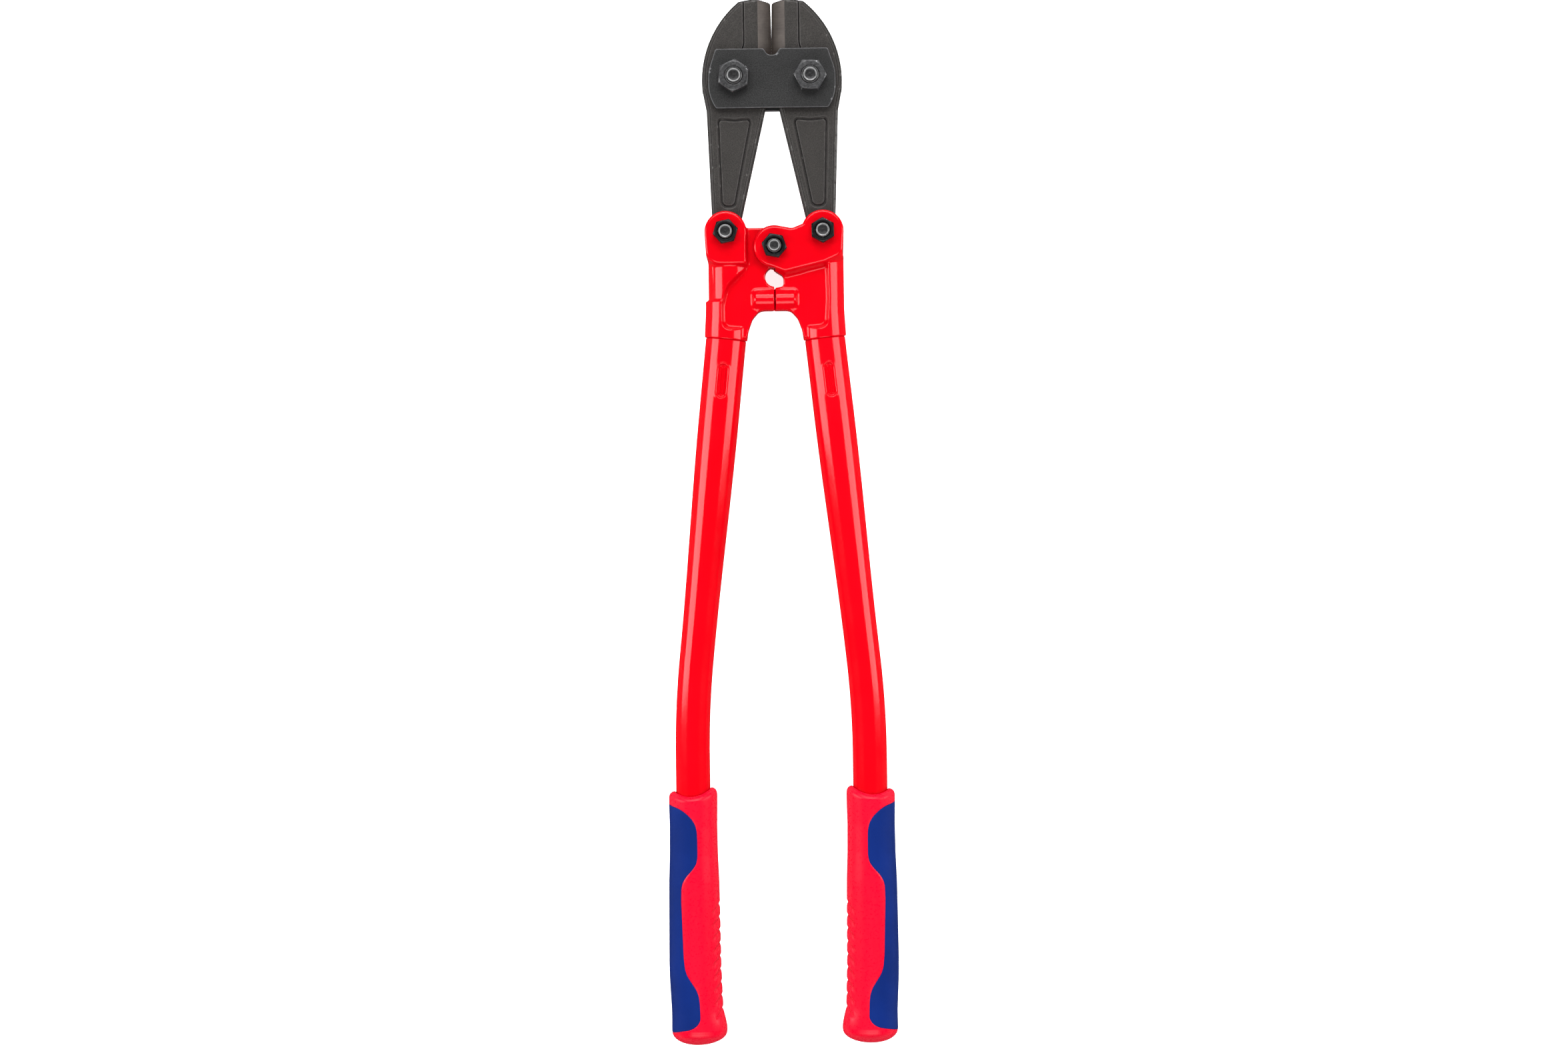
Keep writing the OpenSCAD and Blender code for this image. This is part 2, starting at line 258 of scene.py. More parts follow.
class Paint:
    """A material's nodes, added and linked one line at a time."""

    def __init__(self, name, **sockets):
        self.m = bpy.data.materials.new(name)
        self.m.use_nodes = True
        self.t = self.m.node_tree
        self.shader = self.t.nodes["Principled BSDF"]
        for key, value in sockets.items():
            self.shader.inputs[key.replace("_", " ")].default_value = value
        self.where = self.add("ShaderNodeTexCoord").outputs["Object"]

    def add(self, kind, inputs=(), **settings):
        node = self.t.nodes.new(kind)
        for key, value in settings.items():
            setattr(node, key, value)
        for key, value in dict(inputs).items():
            if isinstance(value, bpy.types.NodeSocket):
                self.t.links.new(value, node.inputs[key])
            else:
                node.inputs[key].default_value = value
        return node

    def noise(self, scale, detail=2.0, rough=0.5, stretch=None):
        place = self.where
        if stretch:
            place = self.add("ShaderNodeMapping", {"Vector": place, "Scale": stretch}).outputs[0]
        return self.add(
            "ShaderNodeTexNoise", {"Vector": place, "Scale": scale, "Detail": detail, "Roughness": rough}
        ).outputs["Fac"]

    def edge(self, low, high):
        """1 on edges that stand out, 0 elsewhere."""
        bend = self.add("ShaderNodeNewGeometry").outputs["Pointiness"]
        return self.span(bend, low, high)

    def span(self, value, low, high, to_low=0.0, to_high=1.0):
        return self.add(
            "ShaderNodeMapRange",
            {"Value": value, "From Min": low, "From Max": high, "To Min": to_low, "To Max": to_high},
        ).outputs[0]

    def times(self, a, b):
        return self.add("ShaderNodeMath", {0: a, 1: b}, operation="MULTIPLY").outputs[0]

    def mix(self, fac, a, b):
        node = self.add("ShaderNodeMix", data_type="RGBA")
        for socket, value in ((node.inputs[0], fac), (node.inputs[6], a), (node.inputs[7], b)):
            if isinstance(value, bpy.types.NodeSocket):
                self.t.links.new(value, socket)
            else:
                socket.default_value = (*value, 1) if isinstance(value, tuple) else value
        return node.outputs[2]

    def bump(self, height, distance, strength=1.0, after=None):
        inputs = {"Height": height, "Distance": distance, "Strength": strength}
        if after is not None:
            inputs["Normal"] = after
        return self.add("ShaderNodeBump", inputs).outputs[0]

    def done(self, **links):
        for key, value in links.items():
            self.t.links.new(value, self.shader.inputs[key.replace("_", " ")])
        return self.m


def powder_coat():
    p = Paint("red_powder_coat", Specular_IOR_Level=0.24)
    broad, fine = p.noise(14.0, 3.0), p.noise(900.0, 1.0)
    colour = p.mix(p.span(broad, 0.35, 0.65), (0.53, 0.0002, 0.0040), (0.57, 0.0003, 0.0052))
    chips = p.times(p.edge(0.56, 0.6), p.span(p.noise(420.0, 2.0), 0.69, 0.71))
    colour = p.mix(chips, colour, (0.05, 0.012, 0.012))
    return p.done(
        Base_Color=colour,
        Roughness=p.span(p.noise(60.0, 3.0), 0.3, 0.7, 0.1, 0.16),
        Normal=p.bump(fine, 0.00002, 0.3, p.bump(p.noise(160.0, 2.0), 0.0001, 0.25)),
    )


def dark_steel(name, low, high, rough, worn, grain=1500.0, metal=0.5,
               wear=(0.53, 0.6), crease=(0.485, 0.44)):
    """Phosphated or blackened steel: finely grained, with painted shade in its creases, lighter on rubbed
    edges.
    """
    p = Paint(name, Metallic=metal, Specular_IOR_Level=0.3)
    mottle = p.span(p.noise(45.0, 6.0, 0.65), 0.25, 0.75)
    specks = p.span(p.noise(grain, 3.0, 0.65), 0.35, 0.7)
    colour = p.mix(p.times(p.span(mottle, 0.0, 1.0, 0.5, 1.0), specks), low, high)
    rubbed = p.times(p.edge(*wear), p.span(p.noise(420.0, 3.0), 0.3, 0.65, 0.5, 1.0))
    colour = p.mix(rubbed, colour, worn)
    # Painted shade: concave creases (low pointiness) are darkened to 0.15 of the darkest tone.
    colour = p.mix(p.edge(*crease), colour, tuple(0.15 * c for c in low))
    return p.done(
        Base_Color=colour,
        Roughness=p.span(p.noise(120.0, 4.0), 0.25, 0.75, rough - 0.07, rough + 0.09),
        Normal=p.bump(specks, 0.00007, 0.6, p.bump(mottle, 0.00003, 0.4)),
    )


def ground_steel():
    """The blade flanks: ground across the edge, with a brownish temper tint."""
    p = Paint("ground_steel", Metallic=0.5)
    tint = p.span(p.noise(60.0, 4.0, 0.6), 0.3, 0.7)
    lines = p.noise(90.0, 3.0, 0.6, (1.0, 26.0, 1.0))
    colour = p.mix(tint, (0.032, 0.0255, 0.022), (0.072, 0.059, 0.051))
    colour = p.mix(p.times(p.span(lines, 0.4, 0.7), 0.25), colour, (0.10, 0.086, 0.078))
    return p.done(
        Base_Color=colour,
        Roughness=p.span(lines, 0.3, 0.7, 0.34, 0.5),
        Normal=p.bump(lines, 0.00003, 0.6),
    )


def moulded(name, low, high, rough, grain, depth, **sockets):
    """Grip plastic or soft rubber, with a fine moulded grain."""
    p = Paint(name, **sockets)
    colour = p.mix(p.span(p.noise(30.0, 3.0), 0.35, 0.65), low, high)
    return p.done(
        Base_Color=colour,
        Roughness=p.span(p.noise(700.0, 2.0), 0.3, 0.7, rough - 0.05, rough + 0.06),
        Normal=p.bump(p.noise(grain, 2.0, 0.6), depth, 0.5),
    )


RED = powder_coat()
JAW = dark_steel(
    "jaw_phosphate", (0.017, 0.0155, 0.0145), (0.045, 0.041, 0.038), 0.5, (0.085, 0.081, 0.078),
    grain=2000.0, wear=(0.508, 0.55)
)
FLANK = ground_steel()
BLACK = dark_steel(
    "plate_black", (0.011, 0.011, 0.011), (0.032, 0.032, 0.0325), 0.45, (0.16, 0.16, 0.165),
    wear=(0.51, 0.57)
)
NUT = dark_steel(
    "nut_steel", (0.022, 0.022, 0.023), (0.085, 0.085, 0.087), 0.34, (0.32, 0.32, 0.33),
    grain=600.0, crease=(0.47, 0.4)
)
OXIDE = dark_steel(
    "nut_oxide", (0.004, 0.004, 0.0045), (0.013, 0.013, 0.014), 0.34, (0.12, 0.12, 0.13), grain=500.0
)
BOLT = dark_steel(
    "bolt_steel", (0.010, 0.010, 0.0105), (0.035, 0.035, 0.036), 0.36, (0.35, 0.35, 0.35),
    grain=700.0, wear=(0.51, 0.56), crease=(0.47, 0.4)
)
GRIP = moulded(
    "grip_red", (0.60, 0.0004, 0.018), (0.62, 0.0005, 0.019), rough=0.3, grain=1500.0, depth=0.00001,
    Specular_IOR_Level=0.18
)
INLAY = moulded(
    "inlay_blue", (0.0004, 0.012, 0.105), (0.0008, 0.015, 0.13), rough=0.55, grain=1300.0, depth=0.00006,
    Specular_IOR_Level=0.08
)


# ---- jaws ----

RIM_X, RIM_Y, RIM_R = -18.98, -2.12, 59.8  # the lobe is an arc about a point on the far side
TOP = JAW_HIGH[1] - JY
BLADE_FOOT = 9.0
EDGE_X, EDGE_Z = 1.3, 1.55  # section of the blade: edge bevel, ground flank, rough band
FLANK_X, FLANK_Z = 7.8, 6.7
BAND_X = 9.8
GROOVE_X = 16.1
PANEL_TOP = -24.4
JAW_STEP = (0.34, 0.5, 0.42)
CLOSED = 0.005  # half the gap left between the closed blades

blade = rounded(
    [[-0.3, BLADE_FOOT, 0], [0.4, TOP - 1.9, 1.6], [9.6, TOP + 0.3, 18], [19.2, TOP - 1.4, 5],
     [70, 4.5, 0], [70, -8, 0], [20, -8, 0]]
)
arm = rounded(
    [[1.75, -8.3, 0], [21.01, -91.98, 0], [35.69, -90.59, 0], [38.3, -19.5, 14], [40.8, -6.5, 6],
     [30, 8, 0], [10, 8, 0]]
)
panel = rounded(
    [[10.9, -22.2, 3.4], [16, -23.4, 8], [22, -24.0, 12], [28, -23.4, 8], [32.8, -22.2, 3.4],
     [31.2, -76.4, 4.7], [21.7, -76.4, 4.7]]
)


def above(x, a, x0, a0, x1, a1):
    """Distance above the line from (x0, a0) to (x1, a1)."""
    reach = math.hypot(x1 - x0, a1 - a0)
    return ((a - a0) * (x1 - x0) - (x - x0) * (a1 - a0)) / reach


def jaw_field(x, y, z):
    y = y - JY
    a = np.abs(z)
    depth = JZ - a
    rim = both(disc(RIM_X, RIM_Y, RIM_R, x, y), flat(blade, x, y))
    hub = both(disc(JX, 0, JX - 0.1, x, y), both(x - JX, np.abs(y) - 11))
    eye = disc(PX, PY - JY, 10, x, y)
    tail = np.minimum(flat(arm, x, y), eye)
    shape = either(np.minimum(rim, hub), tail, 0.6)
    f = bevelled(shape, -depth, 1.3)
    crease = both(np.abs(shape + 2.0) - 0.25, depth - 0.35)
    crease = both(crease, np.minimum(y - BLADE_FOOT, 17.5 - x))
    f = cut(f, crease, 0.15)
    edge = above(x, a, -0.5, -0.1, EDGE_X, EDGE_Z)
    flank = above(x, a, EDGE_X, EDGE_Z, FLANK_X, FLANK_Z)
    band = above(x, a, FLANK_X, FLANK_Z, BAND_X, JZ)
    f = both(f, np.minimum(both(both(edge, flank), band), y - BLADE_FOOT), 0.12)
    groove = np.abs(x - GROOVE_X - 1.3 * smooth(20.5, 14, y)) - 0.4
    f = cut(f, both(both(groove, depth - 1.0), 13 - y), 0.1)
    inner = flat(panel, x, y)
    f = cut(f, both(inner + 0.9 * depth, depth - 0.75, 0.2), 0.3)
    moat = both(np.abs(inner + 1.3) - 0.42, depth - 1.35)
    f = cut(f, both(moat, y - PANEL_TOP, 0.2), 0.15)
    f = cut(f, disc(JX, 0, JAW_BOLT_R + 0.05, x, y))
    return cut(f, disc(PX, PY - JY, PIN_HOLE, x, y))


def make_jaws():
    low, high = [JAW_LOW[0], JAW_LOW[1], -JZ], [JAW_HIGH[0], JAW_HIGH[1], JZ]
    p, q, n = skin(jaw_field, np.subtract(low, 1), np.add(high, 1), JAW_STEP)
    p[:, 0] = np.maximum(p[:, 0], CLOSED)
    c = p[q].mean(1)
    tilt = np.abs(n[q].mean(1)[:, 2])
    ground = (c[:, 0] < FLANK_X) & (c[:, 1] > JY + BLADE_FOOT) & (c[:, 1] < JY + TOP - 1.2)
    for side in ("left", "right"):
        put("forged_jaw_" + side, p, q, side + "_jaw", ["jaw_" + side],
            [JAW, FLANK], n, side == "left", ground & (tilt < 0.9))


make_jaws()


# ---- link plates ----


def make_plates():
    top, bottom = PLATE_HIGH[1], PLATE_LOW[1]
    end_x, side_x, notch_r, notch_y = 32.7, 37.0, 3.0, top - 0.9
    half = rounded(
        [[0, bottom, 0], [end_x, bottom, 1.6], [side_x, bottom + 7, 24], [side_x, top - 13, 24],
         [end_x, top, 1.6], [notch_r + 2, top, 0.4], [notch_r + 1.1, notch_y, 0.6]]
    )[1:]
    turn = np.linspace(0.2, math.pi / 2, 8)
    notch = np.column_stack([(notch_r + 0.7) * np.cos(turn), notch_y - notch_r * np.sin(turn)])
    right = np.concatenate([half, notch])
    shape = np.concatenate([right, right[-2::-1] * [-1, 1]])
    centre, half_thick = (PLATE_LOW[2] + PLATE_HIGH[2]) / 2 - MID, (PLATE_HIGH[2] - PLATE_LOW[2]) / 2

    def field(x, y, z):
        return both(flat(shape, x, y), np.abs(z - centre) - half_thick, 0.35)

    margin = np.ones(3)
    p, q, n = skin(field, PLATE_LOW - [0, 0, MID] - margin, PLATE_HIGH - [0, 0, MID] + margin, 0.4)
    flip = [1, 1, -1]
    for side, points, faces, normals in (("front", p, q, n), ("back", p * flip, q[:, ::-1], n * flip)):
        put("plate_" + side, points, faces, "link", ["link_plate_" + side], BLACK, normals)


make_plates()


# ---- nuts and bolts ----


CHAMFER_IN, CHAMFER_UP = math.sin(math.radians(30)), math.cos(math.radians(30))
THREAD_LENGTH, THREAD_RINGS, RING_POINTS = 11.0, 90, 56


def hexagon(x, y, af, turn):
    """Distance to a hexagon af across its flats, turned by so many degrees."""
    d = -1e9
    for k in range(3):
        a = math.radians(turn + 60 * k + 30)
        d = np.maximum(d, np.abs(x * math.cos(a) + y * math.sin(a)) - af / 2)
    return d


def make_nut(name, node, body, slot, paint, x0, y0, af, r, turn, step, sink=0.75):
    """Hexagon nut, chamfered on both faces, with its bore sunk at the outer face."""
    low, high = size_of(node)
    z0, z1 = low[2] - MID, high[2] - MID

    def field(x, y, z):
        rho = np.hypot(x, y)
        f = both(hexagon(x, y, af, turn), np.abs(z - (z0 + z1) / 2) - (z1 - z0) / 2, 0.25)
        f = both(f, CHAMFER_IN * (rho - af / 2 + 0.35) + CHAMFER_UP * (z - z1), 0.2)
        f = both(f, CHAMFER_IN * (rho - af / 2 - 0.1) + CHAMFER_UP * (z0 - z), 0.2)
        f = cut(f, rho - r - 0.05)
        return cut(f, math.sqrt(0.5) * ((rho - r - sink) - (z - z1)), 0.12)

    reach = af / math.sqrt(3) + 1
    p, q, n = skin(field, (-reach, -reach, z0 - 1), (reach, reach, z1 + 1), step)
    put(name, p + [x0, y0, 0], q, body, [node], paint, n)


def shank(r, z_head, z_end, tip):
    """Grid of rings: plain shank, thread, and a dished end with its edge turned down by tip."""
    pitch = 0.25 * r
    thread = z_end - THREAD_LENGTH
    a = np.linspace(0, math.tau, RING_POINTS, endpoint=False)
    ring = []
    for z in [z_head - 0.5, z_head + 1, *np.linspace(thread, z_end, THREAD_RINGS)]:
        phase = ((z - thread) / pitch - a / math.tau) % 1
        depth = 0.55 * pitch * np.abs(2 * phase - 1) * smooth(thread, thread + 1.5, z)
        edge = np.minimum(r - 0.02 - depth, r - tip + 1.1 * (z_end - z))
        ring.append(np.column_stack([edge * np.cos(a), edge * np.sin(a), np.full(RING_POINTS, z)]))
    for rho, dz in (((r - tip) * 0.84, 0.0), ((r - tip) * 0.72, -0.45), (r * 0.3, -0.6), (0.4, -0.5)):
        ring.append(np.column_stack([rho * np.cos(a), rho * np.sin(a), np.full(RING_POINTS, z_end + dz)]))
    return np.array(ring)


def make_bolt(name, node, body, x0, y0, af, r, head, step, tip=1.15):
    """Hexagon head below, plain shank, and a thread at the free end."""
    low, high = size_of(node)
    z0, z1 = low[2] - MID, high[2] - MID
    reach = af / math.sqrt(3) + 1

    def cap(x, y, z):
        rho = np.hypot(x, y)
        f = both(hexagon(x, y, af, 0), np.abs(z - z0 - head / 2) - head / 2, 0.25)
        return both(f, CHAMFER_IN * (rho - af / 2 + 0.3) + CHAMFER_UP * (z0 - z), 0.2)

    p, q, n = skin(cap, (-reach, -reach, z0 - 1), (reach, reach, z0 + head + 1), step)
    grid = shank(r, z0 + head, z1, tip)
    rows, base = len(grid), len(p)
    last = base + (rows - 1) * RING_POINTS
    faces = [tuple(f) for f in q]
    faces += [tuple(base + i for i in f) for f in grid_faces(rows, RING_POINTS, True)]
    faces += [tuple(range(last, last + RING_POINTS)), tuple(range(base, base + RING_POINTS))[::-1]]
    along = np.gradient(grid, axis=0)
    around = np.roll(grid, -1, 1) - np.roll(grid, 1, 1)
    m = np.cross(around, along).reshape(-1, 3)
    m /= np.maximum(np.linalg.norm(m, axis=1, keepdims=True), 1e-9)
    points = np.concatenate([p, grid.reshape(-1, 3)]) + [x0, y0, 0]
    put(name, points, faces, body, [node], BOLT, np.concatenate([n, m]))


JAW_SIZE = {"af": 17, "r": JAW_BOLT_R}
PIN_SIZE = {"af": 13, "r": PIN_R}
for node_side, side, x0, turn in (("left", "l", -JX, 25), ("right", "r", JX, 58)):
    make_nut("jaw_nut_" + side, "jaw_nut_" + node_side, "link", "nut_steel", NUT, x0, JY,
             turn=turn, step=0.24, sink=0.45, **JAW_SIZE)
for side, node, body, x0, y0, turn, sink in (
    ("l", "outer_nut_left", "left_handle", -PX, PY, 12, 0.75),
    ("r", "outer_nut_right", "right_handle", PX, PY, 31, 0.75),
    ("c", "centre_nut", "right_handle", 0, 0, 49, 1.1),
):
    make_nut("pin_nut_" + side, node, body, "black_nut", OXIDE, x0, y0,
             turn=turn, step=0.2, sink=sink, **PIN_SIZE)
for node_side, side, x0 in (("left", "l", -JX), ("right", "r", JX)):
    make_bolt("jaw_pin_" + side, "jaw_bolt_" + node_side, "link", x0, JY, head=6.4, step=0.3, **JAW_SIZE)
for side, node, body, x0, y0, tip in (
    ("l", "outer_bolt_left", "left_handle", -PX, PY, 0.4),
    ("r", "outer_bolt_right", "right_handle", PX, PY, 0.4),
    ("c", "centre_bolt", "right_handle", 0, 0, 0.9),
):
    make_bolt("handle_pin_" + side, node, body, x0, y0, head=5.3, step=0.26, tip=tip, **PIN_SIZE)


# ---- handle heads ----

fork_base = rounded(
    [[2, 12.2, 0], [10.5, 10.6, 5], [17, 13.2, 5], [24, 20.2, 0], [40.6, 9, 0], [40.0, -8, 4],
     [29, -12.4, 2], [6, -17.9, 3], [-4, -11.6, 0]]
)
fork_top = rounded(
    [[2, 11.8, 0], [10.5, 10.2, 5], [17, 12.8, 5], [24, 20, 0], [40.4, 9, 0], [39.6, -4.6, 5],
     [29.5, -9.2, 3], [6, -14.8, 3], [-4, -11, 0]]
)
pad_base = rounded([[15.6, 9, 0], [15.2, -11.4, 1.5], [39.5, -11.4, 8], [40.6, 8.6, 0]])
pad_top = rounded([[16.3, 9, 0], [16.6, -10, 1.5], [39.5, -10, 8.5], [40.5, 8.6, 0]])
tongue_web = rounded(
    [[0, 11, 0], [16, 11, 2], [24, 4, 0], [37, -3, 0], [36, -40, 0], [31, -52.5, 0],
     [16.6, -53.3, 0], [15.4, -48, 8], [13.2, -42, 8], [8.6, -36.9, 6], [0.1, -36.9, 0], [0.1, -10, 0]]
)
fork_web = rounded(
    [[5.1, -12, 0], [11, 9, 0], [18.5, 9, 0], [24, 4, 0], [37, -3, 0], [36, -40, 0], [31, -52.5, 0],
     [16.6, -53.3, 0], [15.4, -48, 8], [13.2, -42, 8], [8.6, -36.9, 6], [0.1, -36.9, 0],
     [0.1, -24.2, 0], [5.1, -23.2, 1.8]]
)
fork_pocket = rounded([[-5, 0, 0], [30.2, 0, 0], [30.8, -30, 20], [29.8, -46.6, 4.5], [-5, -49.2, 0]])
tongue_pocket = rounded(
    [[-5, -9.9, 0], [15.6, -9.9, 0], [16.6, -12.4, 2], [27.6, -23.4, 14], [30.4, -34, 12],
     [30.2, -46.8, 4.5], [-5, -49.6, 0]]
)
tail_gap = np.array([[PX, PY], [PX, PY - 3.2], [PX + 30, PY - 3.2], [PX + 30, 45], [2, 45],
                     [PX - 10.7, PY + 6.2]])
tongue_gap = np.array([[-20, -14], [5, -14], [11.4, 0], [11.4, 30], [-20, 30]])


EYE_R = 12.3  # round the outer bolts at the foot of each cheek
HUB_R = 12.5  # round the centre bolt, on the fork
TONGUE_R = 11.0
SOCKET_R, SOCKET_LENGTH = 12.45, 46.0
SOCKET_X = {True: 27.95, False: 26.2}  # right and left, at the pads
LEFT_STEP = 1.8
POCKET_Z = 9.5
STOP_Y, STOP_R, STOP_END = -30.8, 5.3, 12.7
SPIGOT_R, SPIGOT_LENGTH = 9.7, 44.0
TONGUE_HOLE = PIN_R + 2.9  # wide, because the centre bolt wanders as the handles open
HEAD_STEP = 0.46


def head_cheeks(fork, x, y, a):
    """The pads round the outer bolts, and the fork's cheeks, with draft from foot to face."""
    base, top = (fork_base, fork_top) if fork else (pad_base, pad_top)
    low = np.minimum(flat(base, x, y), disc(PX, PY, EYE_R, x, y))
    high = np.minimum(flat(top, x, y), disc(PX, PY, EYE_R - 0.1, x, y))
    if fork:
        low = np.minimum(low, disc(0, 0, HUB_R, x, y))
        high = np.minimum(high, disc(0, 0, HUB_R - 0.6, x, y))
    t = np.clip((a - JZ) / (CHEEK - JZ), 0, 1)
    return both(low + (high - low) * t, a - CHEEK, 1.5)


def head_web(fork, x, y, a):
    """The flat between the socket and the centre bolt."""
    web = flat(fork_web if fork else tongue_web, x, y)
    if not fork:
        web = cut(np.minimum(web, disc(0, 0, TONGUE_R, x, y)), disc(0, -17.7, 5.6, x, y))
    return both(web, a - JZ, 1.1)


def head_socket(fork, x, y, z, s):
    """The collar for the tube, with a pocket on each face. It meets the tube's end at the seam."""
    a = np.abs(z)
    middle = SOCKET_X[fork] + (0 if fork else LEFT_STEP * smooth(-30.2, -31.8, y))
    middle = middle + (SEAM[0] - 28) * smooth(-34, SEAM[1], y)
    socket = both(np.hypot(x - middle, z) - SOCKET_R, s, 0.5)
    socket = both(socket, -s - SOCKET_LENGTH, 1)
    hollow = flat(fork_pocket if fork else tongue_pocket, x, y)
    hollow = both(hollow - 0.35 * (a - POCKET_Z), JZ - a, 1.1)
    return cut(socket, hollow, 0.8)


def head_field(fork):
    def field(x, y, z):
        a = np.abs(z)
        s = (x - SEAM[0]) * math.sin(LEAN) - (y - SEAM[1]) * math.cos(LEAN)
        n = (x - SEAM[0]) * math.cos(LEAN) + (y - SEAM[1]) * math.sin(LEAN)
        f = either(head_web(fork, x, y, a), head_socket(fork, x, y, z, s), 0.8)
        f = either(f, head_cheeks(fork, x, y, a), 1.3)
        boss = np.hypot(y - STOP_Y, np.maximum(a - 5.5, 0)) - STOP_R
        f = either(f, both(boss, x - STOP_END, 2.2), 2.3)
        # The stop faces lap each other under the surface, so nothing shows through the gap
        if fork:
            face = np.minimum(both(x - 0.35, -3 - z), x + 0.6)
        else:
            face = np.minimum(x - 0.35, both(x - 0.95, z + 2.7))
        f = cut(f, both(face, y + 12.6), 0.3)
        gap = np.minimum(flat(tail_gap, x, y), disc(PX, PY, 10.4, x, y))
        f = cut(f, both(gap, a - SLOT), 0.4)
        if fork:
            gap = np.minimum(flat(tongue_gap, x, y), disc(0, 0, 14, x, y))
            f = cut(f, both(gap, a - SLOT), 0.4)
        f = cut(f, disc(0, 0, PIN_HOLE if fork else TONGUE_HOLE, x, y))
        f = cut(f, disc(PX, PY, PIN_HOLE, x, y))
        spigot = both(both(np.hypot(n, z) - SPIGOT_R, s - SPIGOT_LENGTH), -s - 4)
        return np.minimum(f, spigot)

    return field


def make_heads():
    for side, fork, inner_x in (("left", False, -12.5), ("right", True, -14.5)):
        low = (inner_x, SEAM[1] - SPIGOT_LENGTH - 1, -CHEEK - 1)
        high = (HEAD_HIGH[0] + 1.5, HEAD_HIGH[1] + 1, CHEEK + 1)
        p, q, n = skin(head_field(fork), low, high, HEAD_STEP)
        put("cast_head_" + side, p, q, side + "_handle", ["head_" + side], RED, n,
            side == "left")


make_heads()


# ---- tubes ----

BEND_R = 550.0
STRAIGHT = 186.9
TUBE_END_R = 10.0
SLOT_AT = 24.6  # the crimp slot's middle, from the seam
BEND = BEND_R * LEAN
CURVE_END = SEAM[1] - STRAIGHT * math.cos(LEAN) - BEND_R * math.sin(LEAN)


def tube_axis(s):
    """Point and sideways direction on a tube's axis, s along it from the seam."""
    s = np.asarray(s, float)
    lean = LEAN * (1 - np.clip((s - STRAIGHT) / BEND, 0, 1))
    first = np.clip(s, None, STRAIGHT)
    x = SEAM[0] + first * math.sin(LEAN) + BEND_R * (np.cos(lean) - math.cos(LEAN))
    y = SEAM[1] - first * math.cos(LEAN) - BEND_R * (math.sin(LEAN) - np.sin(lean))
    y = y - np.clip(s - STRAIGHT - BEND, 0, None)
    return x, y, np.cos(lean), np.sin(lean)


def make_tubes():
    total = STRAIGHT + BEND + CURVE_END - TUBE_LOW[1]
    s = np.concatenate([[0.0, 0.25, 0.6], np.linspace(1.5, 12, 6), np.linspace(12.6, 37, 90),
                        np.linspace(39, total, 110)])
    fine = np.linspace(-0.36, 0.36, 37)
    side = np.linspace(0.42, math.pi - 0.42, 26)
    angle = np.concatenate([fine, side, fine + math.pi, side + math.pi]) + math.pi / 2
    x, y, cx, cy = (v[:, None] for v in tube_axis(s))
    r = TUBE_END_R + (TUBE_R - TUBE_END_R) * (1 - smooth(45, 180, s))
    r = r - 0.45 * (1 - smooth(0, 0.6, s))
    r = r[:, None] + 0 * angle[None, :]
    across = r * np.cos(angle)[None, :]
    along = s[:, None] - SLOT_AT + 0 * across
    slot = np.hypot(across, np.maximum(np.abs(along) - 6.95, 0)) - 2.9
    ribs = np.hypot(np.abs(across) - 1.15, np.maximum(np.abs(along) - 7.2, 0)) - 0.45
    deep = smooth(0.35, -0.65, slot) * (1 - 0.75 * smooth(0.3, -0.2, ribs))
    lip = 0.12 * np.exp(-(((slot - 0.7) / 0.5) ** 2))
    r = r - 1.0 * deep + lip
    u, w = r * np.cos(angle), r * np.sin(angle)
    outer = np.stack([x + u * cx, y + u * cy, w], -1)
    mouth = []
    for at, inner_r in ((2.0, 9.75), (0.0, 9.8)):
        ax, ay, bx, by = tube_axis(at)
        u, w = inner_r * np.cos(angle), inner_r * np.sin(angle)
        mouth.append(np.stack([ax + u * bx, ay + u * by, w], -1))
    grid = np.concatenate([np.array(mouth), outer])
    rows, cols = grid.shape[:2]
    faces = [f[::-1] for f in grid_faces(rows, cols, True)]
    faces += [tuple(range(cols)), tuple(range((rows - 1) * cols, rows * cols))[::-1]]
    for side in ("left", "right"):
        put("handle_tube_" + side, grid.reshape(-1, 3), faces, side + "_handle",
            ["tube_" + side], RED, None, side == "left")


make_tubes()


# ---- grips ----

TOP_Y = GRIP_HIGH[1]
LENGTH = TOP_Y - GRIP_LOW[1]
SHELL_R = 14.5  # about the grip's radius, to turn angles into lengths
BORE_R = 9.9
LINE = 0.28  # depth of the line where shell and inlay meet
RIBS, RIB_PITCH, RIB_DEPTH, FIRST_RIB = 9, 7.6, 0.85, 67.2
FLARE = 1.8

# Side view of the grip: distance from its upper end, and radius
form = np.array(
    [[0, 11.0], [0.12, 11.7], [0.45, 12.4], [1.1, 13.2], [2.1, 13.8], [3.4, 14.1], [5, 14.15], [10, 14.1],
     [23, 13.85], [39, 14.05], [47, 14.35], [55, 14.65], [70, 14.85], [86, 15.0], [101, 15.15],
     [112, 15.2], [124, 15.1], [131, 15.05], [137, 15.2], [141.5, 15.3], [143.5, 15.05], [145, 14.45],
     [146.3, 13.4], [147.5, 11.9], [148.7, 9.6], [149.6, 6.8], [150.1, 4], [150.3, 1.2]]
)
# Front view of the inlay's edge: distance from the grip's upper end, and from its axis
inlay_edge = np.array(
    [[9.2, 15.5], [10.2, 12], [11.6, 8.6], [14.2, 4.6], [17.5, 1.2], [21, -0.9], [25, -1.9], [30, -2.1],
     [40, -2.1], [44, -1.3], [47.5, 1.2], [51, 4.6], [54.5, 6.8], [58, 7.7], [66, 7.9], [82, 7.4],
     [98, 6.9], [105, 6.2], [109, 4.8], [113, 2.2], [117, -0.4], [121, -1.8], [125, -2.3], [134, -2.6],
     [135.5, -2.3], [138.4, -0.2], [140.4, 3.4], [141.5, 7.4], [141.9, 11.5], [142.1, 16.8]]
)


def form_radius(s):
    return np.interp(s, form[:, 0], form[:, 1])


